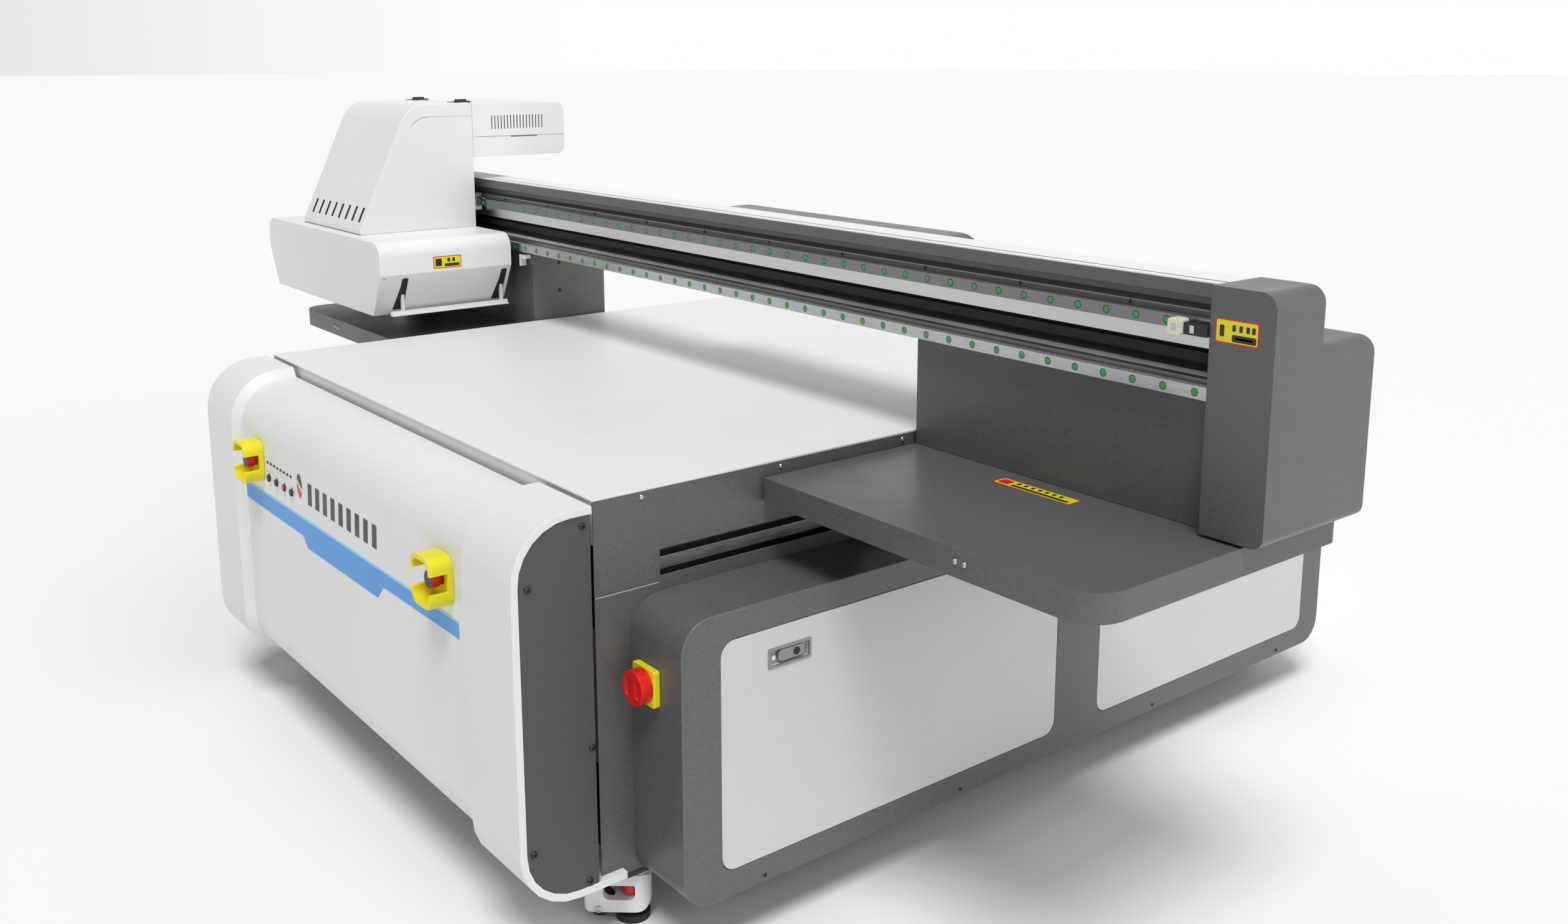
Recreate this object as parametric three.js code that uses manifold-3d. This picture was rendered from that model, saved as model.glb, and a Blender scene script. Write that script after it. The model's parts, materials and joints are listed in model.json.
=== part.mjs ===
// Flatbed UV printer: a fixed vacuum table with a moving gantry and a print carriage.
// Units are millimetres. X runs across the table along the gantry beam, Y runs from the operator's
// side (front, -Y) to the back, Z is up. The origin is on the floor, under the middle of the
// machine's outline with the carriage parked, so the table's own middle lies at TABLE_MIDDLE.
import * as THREE from "three";
import { mergeVertices } from "three/addons/utils/BufferGeometryUtils.js";
import Module from "manifold-3d";

// ---- driving dimensions -------------------------------------------------------------------------
const TABLE_MIDDLE = [37, 12, 0];
const TABLE = { halfWidth: 750, halfLength: 1020, top: 810, skin: 4, coreBottom: 730 };
const SHELL = { halfWidth: 765, depth: 160, top: 805, bottom: 118, radius: 110, hem: 13, wall: 6 };
const BAND = { width: 175, recess: 20, slope: 16 };
const SKIRT = { thickness: 2.5, slotBottom: 649, slotTop: 696, slotHalfLength: 887 };
const CABINET = { outer: 904, halfLength: 950, bottom: 104, top: 623, radius: 58, wall: 3 };
const DOOR = { near: 108, far: 873, frontFar: 25, bottom: 152, top: 573, radius: 30, gap: 1.5 };
const INLET = { x: 828, z: 220 };
const LATCH = { fromEdge: 147.5, z: 516, halfLength: 43, halfHeight: 14, depth: 11 };
const FRAME_TUBE = 80;
const CASTER = { x: 705, y: 928, plateTop: 109, headTop: 102.5, wheelRadius: 25, wheelOffset: 58, turn: 50 };
const Y_RAIL = { inner: 716.3, outer: 738, bottom: 655, top: 678, halfLength: 985 };
const SCREW = { radius: 10, x: 731.5, z: 630, halfLength: 970 };

// The gantry is drawn 300 mm behind its foremost place, where it stands at rest.
const WING = { inner: 758, outer: 1512, front: -668, back: -48, bottom: 738, top: 785, wall: 4 };
const UPRIGHT = { outer: 1434, front: -296, back: -70, top: 993.7, wall: 8 };
const BEAM = { halfLength: 1434, face: -298, back: -212, bottom: 994, top: 1184 };
const X_RAIL = { width: 23, height: 21.7, upper: 1118, lower: 1011 };
const COVER = { inner: 1436, outer: 1550, front: -330, step: -202, back: -50, bottom: 790 };
const COVER_TOP = { front: 1185, back: 1089, radius: 27, wall: 3 };

// The carriage is parked at the left end of the beam.
const CARRIAGE_X = -1215;
const HOUSING = { front: -713.5, back: -336, bottom: 853, crease: 964, shoulder: 1006, top: 1050 };
const HOUSING_HALF = { bottom: 351, crease: 409, top: 372 };
const HOOD = { half: 206, front: -678, back: -336, top: 1396, radius: 80, wall: 4 };
const REAR_BOX = { front: -335.5, back: -43, bottom: 1246, top: 1394, radius: 22, wall: 3 };
const CRASH_BAR = { reach: 376, front: -675, back: -337, bottom: 852, pivotX: 382, pivotZ: 940 };

// Controls on the recessed middle of the front shell.
const CONTROLS = { estopX: [477, -477], estopZ: 632, buttonX: [-406, -359, -312, -267], buttonZ: 602.5 };
const ISOLATOR = { x: 807, z: 490, halfWidth: 33, halfHeight: 33, depth: 12, knob: 31 };

const SHELL_FACE = -(TABLE.halfLength + SHELL.depth);
const PANEL_FACE = SHELL_FACE + BAND.recess;
const SHELL_RETURN = -(TABLE.halfLength - 45);
const ROUND = 24;

// ---- materials ----------------------------------------------------------------------------------
const material = (color, roughness, metalness) =>
  new THREE.MeshStandardMaterial({ color, roughness, metalness });
const whitePaint = material(0xe9eaeb, 0.45, 0.05);
const greyPaint = material(0x55565a, 0.55, 0.1);
const doorPaint = material(0xc9caca, 0.5, 0.05);
const tableWhite = material(0xf2f2f2, 0.35, 0);
const aluminium = material(0xb9bcbf, 0.35, 0.9);
const steel = material(0x9da1a5, 0.28, 1);
const framePaint = material(0x3b3d40, 0.6, 0.2);
const blackPlastic = material(0x1b1c1e, 0.5, 0);
const yellowPlastic = material(0xf0dc14, 0.4, 0);
const redPlastic = material(0xd6200f, 0.35, 0);
const blackRubber = material(0x161616, 0.85, 0);
const machineGrey = material(0x83878b, 0.5, 0.3);

// ---- shape helpers ------------------------------------------------------------------------------
const wasm = await Module();
wasm.setup();

// A closed geometry as a manifold solid, with shared vertices merged.
function solidOf(geometry) {
  const bare = geometry.clone();
  bare.deleteAttribute("normal");
  bare.deleteAttribute("uv");
  const welded = mergeVertices(bare, 1e-4);
  return new wasm.Manifold(
    new wasm.Mesh({
      numProp: 3,
      vertProperties: new Float32Array(welded.attributes.position.array),
      triVerts: new Uint32Array(welded.index.array),
    }),
  );
}

function geometryOf(solid) {
  const data = solid.getMesh();
  const geometry = new THREE.BufferGeometry();
  geometry.setAttribute("position", new THREE.BufferAttribute(data.vertProperties, 3));
  geometry.setIndex(new THREE.BufferAttribute(data.triVerts, 1));
  geometry.computeVertexNormals();
  return geometry;
}

const joined = (...pieces) => geometryOf(pieces.map(solidOf).reduce((a, b) => a.add(b)));
const cut = (piece, ...tools) =>
  geometryOf(tools.map(solidOf).reduce((a, b) => a.subtract(b), solidOf(piece)));
const common = (a, b) => geometryOf(solidOf(a).intersect(solidOf(b)));

function box(x0, x1, y0, y1, z0, z1) {
  const geometry = new THREE.BoxGeometry(x1 - x0, y1 - y0, z1 - z0);
  return geometry.translate((x0 + x1) / 2, (y0 + y1) / 2, (z0 + z1) / 2);
}

// Turns corners [a, b, radius] into outline points, with an arc of `steps` chords at each radius.
function rounded(corners, steps = 6) {
  const count = corners.length;
  return corners.flatMap(([a, b, radius = 0], i) => {
    const here = new THREE.Vector2(a, b);
    if (!radius) return [here];
    const toward = (j) => new THREE.Vector2(corners[j][0], corners[j][1]).sub(here).normalize();
    const before = toward((i + count - 1) % count);
    const after = toward((i + 1) % count);
    const half = before.angleTo(after) / 2;
    const centre = before.clone().add(after).normalize().multiplyScalar(radius / Math.sin(half));
    centre.add(here);
    const start = here.clone().addScaledVector(before, radius / Math.tan(half)).sub(centre);
    const end = here.clone().addScaledVector(after, radius / Math.tan(half)).sub(centre);
    const sweep = Math.atan2(start.cross(end), start.dot(end));
    const points = [];
    for (let k = 0; k <= steps; k++) {
      points.push(start.clone().rotateAround(new THREE.Vector2(), (sweep * k) / steps).add(centre));
    }
    return points;
  });
}

const rectangle = (a0, a1, b0, b1, radius = 0, steps = 6) =>
  rounded([[a0, b0, radius], [a1, b0, radius], [a1, b1, radius], [a0, b1, radius]], steps);

function prism(points, length, basis, origin) {
  const geometry = new THREE.ExtrudeGeometry(new THREE.Shape(points), {
    depth: length,
    bevelEnabled: false,
  });
  geometry.applyMatrix4(new THREE.Matrix4().makeBasis(...basis));
  return geometry.translate(...origin);
}

const X = new THREE.Vector3(1, 0, 0);
const Y = new THREE.Vector3(0, 1, 0);
const Z = new THREE.Vector3(0, 0, 1);
// Prisms along each axis: an outline in (y, z), (x, z) or (x, y), between two places on the axis.
const prismX = (points, x0, x1) => prism(points, x1 - x0, [Y, Z, X], [x0, 0, 0]);
const prismY = (points, y0, y1) => prism(points, y1 - y0, [X, Z, Y.clone().negate()], [0, y1, 0]);
const prismZ = (points, z0, z1) => prism(points, z1 - z0, [X, Y, Z], [0, 0, z0]);

function cylinder(axis, radius, from, to, at, segments = ROUND) {
  const geometry = new THREE.CylinderGeometry(radius, radius, to - from, segments);
  if (axis === "x") geometry.rotateZ(-Math.PI / 2).translate((from + to) / 2, at[0], at[1]);
  if (axis === "y") geometry.translate(at[0], (from + to) / 2, at[1]);
  if (axis === "z") geometry.rotateX(Math.PI / 2).translate(at[0], at[1], (from + to) / 2);
  return geometry;
}

// Joins outlines of equal length, each at its own x, into one closed body.
function loftX(rings) {
  const count = rings[0].points.length;
  const vertices = rings.flatMap(({ x, points }) => points.flatMap((p) => [x, p.x, p.y]));
  const faces = [];
  for (let ring = 0; ring + 1 < rings.length; ring++) {
    for (let i = 0; i < count; i++) {
      const a = ring * count + i;
      const b = ring * count + ((i + 1) % count);
      faces.push(a, b, b + count, a, b + count, a + count);
    }
  }
  const last = (rings.length - 1) * count;
  for (const [a, b, c] of THREE.ShapeUtils.triangulateShape(rings[0].points, [])) {
    faces.push(c, b, a, last + a, last + b, last + c);
  }
  const geometry = new THREE.BufferGeometry();
  geometry.setAttribute("position", new THREE.Float32BufferAttribute(vertices, 3));
  geometry.setIndex(faces);
  return geometry;
}

const mirroredX = (geometry) => {
  const copy = geometry.clone().scale(-1, 1, 1);
  const index = copy.index ? copy.index.array : null;
  if (!index) throw new Error("mirroredX needs an indexed geometry");
  for (let i = 0; i < index.length; i += 3) [index[i], index[i + 1]] = [index[i + 1], index[i]];
  copy.computeVertexNormals();
  return copy;
};

const group = new THREE.Group();
function add(name, geometry, look) {
  const mesh = new THREE.Mesh(geometry.clone().translate(...TABLE_MIDDLE), look);
  mesh.name = name;
  group.add(mesh);
}
// Adds a piece and its mirror image on the left.
function addPair(name, geometry, look) {
  add(name + "_right", geometry, look);
  add(name + "_left", mirroredX(geometry), look);
}

// ---- table and base -----------------------------------------------------------------------------
// The vacuum table: a thin top plate on a core with two air chambers that open downwards.
function vacuumTable() {
  const { halfWidth, halfLength, top, skin, coreBottom } = TABLE;
  const side = halfWidth - 4;
  const end = halfLength - 2;
  const plate = box(-halfWidth, halfWidth, -halfLength, halfLength, top - skin, top);
  const core = box(-side, side, -end, end, coreBottom, top - 1);
  const chamber = (y0, y1) => box(-side + 20, side - 20, y0, y1, coreBottom - 1, top - 20);
  return cut(joined(plate, core), chamber(-end + 20, -10), chamber(10, end - 20));
}

function baseFrame() {
  const inner = Y_RAIL.inner - 0.3 - FRAME_TUBE;
  const outer = Y_RAIL.inner - 0.3;
  const end = TABLE.halfLength - 10;
  const top = TABLE.coreBottom - 0.3;
  const legX = CASTER.x - FRAME_TUBE / 2;
  const legY = CASTER.y - FRAME_TUBE / 2;
  const low = 130;
  const pieces = [];
  for (const side of [-1, 1]) {
    const across = (a, b) => [Math.min(side * a, side * b), Math.max(side * a, side * b)];
    pieces.push(box(...across(inner, outer), -end, end, 570, top));
    pieces.push(box(...across(legX, legX + FRAME_TUBE), -legY, legY, low, low + FRAME_TUBE));
    for (const y of [-legY - FRAME_TUBE, legY]) {
      pieces.push(box(...across(legX, legX + FRAME_TUBE), y, y + FRAME_TUBE, 103, 600));
    }
  }
  for (const y of [-end, -350, 270, end - FRAME_TUBE]) {
    pieces.push(box(-inner - 1, inner + 1, y, y + FRAME_TUBE, 570, 650));
  }
  // The lower cross tubes; the two in the middle carry the blower.
  for (const y of [-legY - FRAME_TUBE, -90, 150, legY]) {
    pieces.push(box(-legX - 1, legX + 1, y, y + FRAME_TUBE, low, low + FRAME_TUBE));
  }
  // End bearings of the two ball screws, on the outer faces of the side tubes.
  for (const side of [-1, 1]) {
    for (const y of [-SCREW.halfLength - 28, SCREW.halfLength + 0.4]) {
      const [a, b] = [side * (outer - 1), side * (outer + 29)];
      const [from, to] = [Math.min(a, b), Math.max(a, b)];
      pieces.push(box(from, to, y, y + 27.6, SCREW.z - 15, SCREW.z + 15));
    }
  }
  return joined(...pieces);
}

// A ball screw with a six-sided drive end, along the side of the frame under the rail.
function yScrew() {
  const { radius, x, z, halfLength } = SCREW;
  const drive = cylinder("y", radius + 3, halfLength - 30, halfLength, [x, z], 6);
  return joined(cylinder("y", radius, -halfLength, halfLength - 1, [x, z], 20), drive);
}

// A side-channel blower with its motor, standing on the lower frame under the table.
function vacuumBlower() {
  const z = 400;
  const housing = cylinder("y", 150, -90, 20, [0, z], 28);
  const motor = cylinder("y", 85, 19, 230, [0, z], 20);
  const foot = box(-130, 130, -85, 225, 210.4, 262);
  const outlet = cylinder("z", 30, z, TABLE.coreBottom - 0.5, [-100, -35], 16);
  return joined(housing, motor, foot, outlet);
}

// ---- front and rear shells ----------------------------------------------------------------------
// The C-shaped section of the shell: over the top, down the face and back under the frame.
function shellOutline(outer, inner, steps = 6) {
  const { top, bottom, radius } = SHELL;
  const rear = -(TABLE.halfLength + 8);
  const path = (inset) =>
    rounded(
      [
        [rear, top - inset],
        [SHELL_FACE + inset, top - inset, radius - inset],
        [SHELL_FACE + inset, bottom + inset, radius - inset],
        [SHELL_RETURN, bottom + inset],
      ],
      steps,
    );
  return [...path(outer), ...path(inner).reverse()];
}

function frontShell() {
  const end = SHELL.halfWidth;
  const band = shellOutline(0, SHELL.hem);
  const panel = shellOutline(BAND.recess, BAND.recess + SHELL.wall);
  const step = end - BAND.width;
  const rings = [
    { x: -end, points: band },
    { x: -step, points: band },
    { x: -step + BAND.slope, points: panel },
    { x: step - BAND.slope, points: panel },
    { x: step, points: band },
    { x: end, points: band },
  ];
  const through = (x, z, radius) => cylinder("y", radius, PANEL_FACE - 5, PANEL_FACE + 12, [x, z], 16);
  const holes = CONTROLS.buttonX.map((x) => through(x, CONTROLS.buttonZ, 8.6));
  for (const x of CONTROLS.estopX) holes.push(through(x, CONTROLS.estopZ, 13));
  return cut(loftX(rings), ...holes);
}

// The rear shell has the same section, with closed ends and two rows of louvre slots.
function rearShell() {
  const { halfWidth, top, bottom, radius, wall } = SHELL;
  const near = TABLE.halfLength + 8;
  const face = -SHELL_FACE;
  const outline = (inset) =>
    rounded([
      [near - inset, bottom + inset],
      [face - inset, bottom + inset, radius - inset],
      [face - inset, top - inset, radius - inset],
      [near - inset, top - inset],
    ]);
  const slots = [];
  for (const x of [-420, 420]) {
    for (let row = 0; row < 7; row++) {
      const z = 300 + row * 26;
      slots.push(box(x - 110, x + 110, face - wall - 5, face + 5, z, z + 9));
    }
  }
  return cut(
    prismX(outline(0), -halfWidth, halfWidth),
    prismX(outline(wall), -halfWidth + wall, halfWidth - wall),
    ...slots,
  );
}

// The dark trim that closes the end of the front shell.
function endPanel() {
  const front = SHELL_FACE + SHELL.hem + 0.4;
  const back = -(TABLE.halfLength + 11);
  const radius = SHELL.radius - SHELL.hem;
  const outline = rounded([
    [back, SHELL.bottom + SHELL.hem + 0.4],
    [back, SHELL.top - SHELL.hem - 0.4],
    [front, SHELL.top - SHELL.hem - 0.4, radius],
    [front, SHELL.bottom + SHELL.hem + 0.4, radius],
  ]);
  return joined(prismX(outline, SHELL.halfWidth - 6, SHELL.halfWidth - 2));
}

function sideSkirt() {
  const inner = TABLE.halfWidth - SKIRT.thickness;
  const end = TABLE.halfLength - 2;
  const slot = SKIRT.slotHalfLength;
  return cut(
    box(inner, TABLE.halfWidth, -end, end, SHELL.bottom, TABLE.top - TABLE.skin - 0.3),
    box(inner - 1, TABLE.halfWidth + 1, -slot, slot, SKIRT.slotBottom, SKIRT.slotTop),
    // A notch clears the return of the front shell.
    box(inner - 1, TABLE.halfWidth + 1, -end - 1, SHELL_RETURN + 0.4, 117, SHELL.bottom + SHELL.hem + 0.4),
  );
}

// ---- side cabinets ------------------------------------------------------------------------------
const cabinetBlock = (x0, x1, inset) =>
  prismX(
    rectangle(
      -CABINET.halfLength + inset,
      CABINET.halfLength - inset,
      CABINET.bottom + inset,
      CABINET.top - inset,
      CABINET.radius - inset,
    ),
    x0,
    x1,
  );

function cabinet(doorways) {
  const outer = CABINET.outer;
  const shell = cabinetBlock(TABLE.halfWidth + 0.3, outer, 0);
  const hollow = cabinetBlock(TABLE.halfWidth, outer - CABINET.wall, CABINET.wall);
  const cuts = doorways.map(([y0, y1]) =>
    prismX(rectangle(y0, y1, DOOR.bottom, DOOR.top, DOOR.radius), outer - CABINET.wall - 1, outer + 1),
  );
  return cut(shell, hollow, ...cuts);
}

// The round boss where the mains cable enters, low on the rear end of the right cabinet.
function cabinetWithInlet(doorways) {
  const end = CABINET.halfLength;
  const boss = cylinder("y", 24, end - 1, end + 16, [INLET.x, INLET.z]);
  return cut(joined(cabinet(doorways), boss), cylinder("y", 14, end - 5, end + 17, [INLET.x, INLET.z]));
}

// A shallow pan with a returned edge and a recess for its latch.
function door(y0, y1) {
  const outer = CABINET.outer + 0.4;
  const pan = (inset, x0, x1) =>
    prismX(
      rectangle(y0 + inset, y1 - inset, DOOR.bottom + inset, DOOR.top - inset, DOOR.radius - inset),
      x0,
      x1,
    );
  const latchY = y0 + LATCH.fromEdge;
  const recess = (grow, x0, x1) =>
    box(
      x0,
      x1,
      latchY - LATCH.halfLength - grow,
      latchY + LATCH.halfLength + grow,
      LATCH.z - LATCH.halfHeight - grow,
      LATCH.z + LATCH.halfHeight + grow,
    );
  const body = joined(
    cut(pan(DOOR.gap, outer - 16, outer), pan(DOOR.gap + 3, outer - 17, outer - 2.5)),
    recess(2, outer - LATCH.depth - 2, outer - 2),
  );
  return cut(body, recess(0, outer - LATCH.depth, outer + 1));
}

// The flush lever in the latch recess. It pivots at its rear end.
function latchPaddle(y0) {
  const outer = CABINET.outer + 0.4;
  const centre = y0 + LATCH.fromEdge;
  const outline = rectangle(centre - 24, centre + 34, LATCH.z - 11, LATCH.z + 11, 9, 4);
  return joined(prismX(outline, outer - 6, outer - 1));
}

function electricsBox() {
  return box(760, 870, -820, -420, 160, 520);
}

function isolatorPlate() {
  const { x, z, halfWidth, halfHeight, depth } = ISOLATOR;
  const face = -CABINET.halfLength - 0.3;
  const outline = rectangle(x - halfWidth, x + halfWidth, z - halfHeight, z + halfHeight, 5, 3);
  return joined(prismY(outline, face - depth, face));
}

// The round rotary handle: two shallow finger recesses leave a grip bar across it.
function isolatorKnob() {
  const { x, z, depth, knob } = ISOLATOR;
  const back = -CABINET.halfLength - depth - 0.6;
  const disc = cylinder("y", knob, back - 22, back, [x, z], 36);
  const recess = (side) => {
    const inner = x + side * 8;
    const outer = x + side * 22;
    const outline = rectangle(Math.min(inner, outer), Math.max(inner, outer), z - 17, z + 17, 6, 3);
    return prismY(outline, back - 23, back - 18);
  };
  return cut(disc, recess(-1), recess(1));
}

// ---- controls on the front shell ----------------------------------------------------------------
// A deep collar round the emergency stop, notched at both sides for the fingers.
function estopShroud(x) {
  const z = CONTROLS.estopZ;
  const back = PANEL_FACE - 0.3;
  const front = PANEL_FACE - 44;
  const ring = (inset, radius) =>
    rectangle(x - 40 + inset, x + 40 - inset, z - 47 + inset, z + 47 - inset, radius, 4);
  return cut(
    prismY(ring(0, 22), front, back),
    prismY(ring(9, 14), front - 1, back - 6),
    cylinder("y", 14, back - 10, back + 1, [x, z], 16),
    box(x - 60, x + 60, front - 1, back - 10, z - 17, z + 17),
  );
}

function estopButton(x) {
  const z = CONTROLS.estopZ;
  return joined(
    cylinder("y", 12, PANEL_FACE - 13, PANEL_FACE + 1, [x, z], 20),
    cylinder("y", 16.5, PANEL_FACE - 30, PANEL_FACE - 12, [x, z], 28),
  );
}

function pushButton(x) {
  return joined(cylinder("y", 8, PANEL_FACE - 6, PANEL_FACE + 8, [x, CONTROLS.buttonZ], 20));
}

// ---- levelling casters --------------------------------------------------------------------------
// Each caster stands turned about its swivel.
function turned(geometry, x, y) {
  const angle = THREE.MathUtils.degToRad(CASTER.turn);
  return geometry.translate(-x, -y, 0).rotateZ(angle).translate(x, y, 0);
}

// The housing carries the swivel head, the wheel and the foot that is screwed down to the floor.
// A window through its sides shows the ring that lowers the foot.
function casterBody(x, y) {
  const wheelX = x - CASTER.wheelOffset;
  const side = rounded([
    [wheelX - 26, 22, 14],
    [x + 34, 22, 18],
    [x + 34, 93, 16],
    [x - 30, 93, 20],
    [wheelX - 26, 58, 14],
  ]);
  const plan = rounded([
    [wheelX - 27, y - 30, 8],
    [x + 34, y - 30, 29],
    [x + 34, y + 30, 29],
    [wheelX - 27, y + 30, 8],
  ]);
  const housing = common(prismY(side, y - 30, y + 30), prismZ(plan, 20, 95));
  const wheelSlot = box(wheelX - 40, wheelX + 27, y - 14, y + 14, 0, 62);
  const windowEdge = rounded([[x - 50, 46, 12], [x + 8, 46, 12], [x + 8, 74, 3], [x - 50, 74, 3]], 4);
  return turned(
    joined(
      cut(housing, wheelSlot, prismY(windowEdge, y - 40, y + 40)),
      cylinder("z", 30, 92, CASTER.headTop, [x, y]),
      cylinder("z", 9, 8, 93, [x, y], 16),
      cylinder("z", 20, 50, 66, [x, y], 20),
      cylinder("z", 31, 0, 13, [x, y]),
    ),
    x,
    y,
  );
}

function casterWheel(x, y) {
  const centre = [x - CASTER.wheelOffset, CASTER.wheelRadius + 3];
  return turned(joined(cylinder("y", CASTER.wheelRadius, y - 12, y + 12, centre, 28)), x, y);
}

// ---- gantry -------------------------------------------------------------------------------------
function wing() {
  const { inner, outer, front, back, bottom, top, wall } = WING;
  const outline = (inset) =>
    rounded([
      [inner + inset, front + inset],
      [outer - inset, front + inset, 62 - inset],
      [outer - inset, back - inset, 24 - inset],
      [inner + inset, back - inset],
    ]);
  return cut(prismZ(outline(0), bottom, top), prismZ(outline(wall), bottom - 1, top - wall));
}

function upright() {
  const { outer, front, back, top, wall } = UPRIGHT;
  const inner = WING.inner + 2;
  const bottom = WING.top + 0.3;
  const inside = [front + wall, back - wall, bottom + wall, top - wall];
  return cut(box(inner, outer, front, back, bottom, top), box(inner + wall, outer + 1, ...inside));
}

// The plate that hangs under a wing, with two bearing blocks that reach through the skirt's slot
// and the nut of the ball screw under the front one.
function hanger() {
  const plate = box(765, 785, -460, -140, 641, WING.top - WING.wall - 0.3);
  const block = (y) =>
    cut(
      box(724, 766, y - 35, y + 35, 651, 694),
      box(723, Y_RAIL.outer + 0.3, y - 36, y + 36, Y_RAIL.bottom - 0.3, Y_RAIL.top + 0.3),
    );
  const nut = cut(
    box(SCREW.x - 13, SCREW.x + 13, -440, -380, SCREW.z - 15, 652),
    cylinder("y", SCREW.radius + 0.5, -441, -379, [SCREW.x, SCREW.z], 20),
  );
  return joined(plate, block(-410), block(-190), nut);
}

// The beam's section: a lip over the dark upper face, a ledge, the belt groove and a lower step.
function gantryBeam() {
  const { halfLength, face, back, bottom, top } = BEAM;
  const outline = [
    [face, bottom],
    [face, 1029],
    [face - 6, 1035],
    [face, 1041],
    [face + 30, 1041],
    [face + 30, 1078],
    [face, 1078],
    [face, 1138],
    [face + 12, 1146],
    [face + 12, 1156],
    [face - 8, 1160],
    [face - 8, top],
    [face + 12, top],
    [face + 12, top - 6],
    [face + 17, top - 6],
    [face + 17, top],
    [back, top],
    [back, bottom],
  ].map(([a, b]) => new THREE.Vector2(a, b));
  const hollow = rectangle(face + 40, back - 10, bottom + 10, top - 16);
  return cut(
    prismX(outline, -halfLength, halfLength),
    prismX(hollow, -halfLength - 1, halfLength + 1),
  );
}

function xRail(z) {
  const { width, height } = X_RAIL;
  const end = BEAM.halfLength - 4;
  const back = BEAM.face - 0.3;
  const [low, high] = [z - width / 2, z + width / 2];
  // The sides are waisted, where the balls of the bearing blocks run.
  const outline = [
    [back, low],
    [back, high],
    [back - 9, high],
    [back - 12, high - 3],
    [back - 16, high - 3],
    [back - height, high - 0.5],
    [back - height, low + 0.5],
    [back - 16, low + 3],
    [back - 12, low + 3],
    [back - 9, low],
  ].map(([a, b]) => new THREE.Vector2(a, b));
  return joined(prismX(outline, -end, end));
}

function driveBelt() {
  const end = BEAM.halfLength - 30;
  return box(-end, end, BEAM.face + 14, BEAM.face + 17, 1051, 1068);
}

function endCover() {
  const { inner, outer, front, step, back, bottom } = COVER;
  const { front: high, back: low, radius, wall } = COVER_TOP;
  const outline = (top, inset, open) =>
    rounded([
      [inner - open, bottom + inset],
      [outer - inset, bottom + inset, 20 - inset],
      [outer - inset, top - inset, radius - inset],
      [inner - open, top - inset],
    ]);
  const shell = joined(
    prismY(outline(high, 0, 0), front, step),
    prismY(outline(low, 0, 0), step - 1, back),
  );
  return cut(
    shell,
    prismY(outline(high, wall, 1), front + wall, step - wall),
    prismY(outline(low, wall, 1), step - wall - 1, back - wall),
  );
}

// A long service cover behind the beam, over the cable tray.
function beamRearBox() {
  const outline = (inset) =>
    rounded([
      [-23 + inset, 1060 - (inset ? 1 : 0)],
      [792 - inset, 1060 - (inset ? 1 : 0)],
      [792 - inset, BEAM.top - inset, 60 - inset],
      [-23 + inset, BEAM.top - inset, 60 - inset],
    ]);
  const front = BEAM.back + 0.5;
  return cut(prismY(outline(0), front, front + 60), prismY(outline(3), front + 3, front + 57));
}

// ---- carriage -----------------------------------------------------------------------------------
// Pieces of the carriage are drawn round x = 0 and moved to their place along the beam.
const atCarriage = (geometry) => geometry.translate(CARRIAGE_X, 0, 0);

function carriagePlate() {
  const back = HOUSING.back + 2;
  const plate = box(-190, 190, back - 12, back, 960, 1240);
  const clamp = box(-30, 30, back - 1, BEAM.face + 13.6, 1045, 1074);
  const block = (x, z) =>
    cut(
      box(x - 40, x + 40, back - 1, BEAM.face - 8, z - 24, z + 24),
      box(x - 41, x + 41, BEAM.face - 0.3 - X_RAIL.height - 0.3, 0, z - 11.9, z + 11.9),
    );
  const blocks = [];
  for (const x of [-145, 145]) for (const z of [X_RAIL.lower, X_RAIL.upper]) blocks.push(block(x, z));
  return joined(plate, clamp, ...blocks);
}

function housingOutline(inset, drop = 0) {
  const { bottom, crease, shoulder, top } = HOUSING;
  const half = HOUSING_HALF;
  const side = [
    [half.bottom - inset, bottom - drop],
    [half.crease - inset, crease],
    [half.crease - inset, shoulder],
    [half.crease - inset, top - inset, half.crease - half.top - inset / 2],
  ];
  const left = side.map(([a, ...rest]) => [-a, ...rest]).reverse();
  return rounded([...side, ...left], 5);
}

// Where the two arms of each crash bar pass through the side of the housing.
const armPlaces = [-642, -355];

// The wide lower housing, open underneath and behind, with slots for the arms of the crash bars.
function lowerHousing() {
  const { front, back, top } = HOUSING;
  const slots = [];
  for (const side of [-1, 1]) {
    for (const y of armPlaces) {
      const [a, b] = [side * 340, side * 412];
      slots.push(box(Math.min(a, b), Math.max(a, b), y - 9, y + 9, 876, 952));
    }
  }
  return cut(
    prismY(housingOutline(0), front, back),
    prismY(housingOutline(4, 1), front + 4, back + 1),
    box(-HOOD.half + 8, HOOD.half - 8, HOOD.front + 8, back + 1, top - 30, top + 1),
    ...slots,
  );
}

// The hood's side outline: a steep front, a round brow and a flat top.
function hoodOutline(inset, drop = 0) {
  const bottom = HOUSING.top + 0.3 - drop;
  const slopeFoot = [HOOD.front + inset, HOUSING.top + 14];
  const brow = [HOOD.front + inset + 153, HOOD.top - inset, HOOD.radius - inset];
  return rounded(
    [
      [HOOD.front + inset, bottom],
      slopeFoot,
      brow,
      [HOOD.back + (inset ? 1 : 0), HOOD.top - inset],
      [HOOD.back + (inset ? 1 : 0), bottom],
    ],
    10,
  );
}

function hood() {
  const vents = [];
  for (let i = 0; i < 8; i++) {
    const x = -171 + i * 48;
    vents.push(box(x, x + 17, HOOD.front - 20, HOOD.front + 60, 1082, 1120));
  }
  return cut(
    prismX(hoodOutline(0), -HOOD.half, HOOD.half),
    prismX(hoodOutline(HOOD.wall, 1), -HOOD.half + HOOD.wall, HOOD.half - HOOD.wall),
    ...vents,
  );
}

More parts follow.
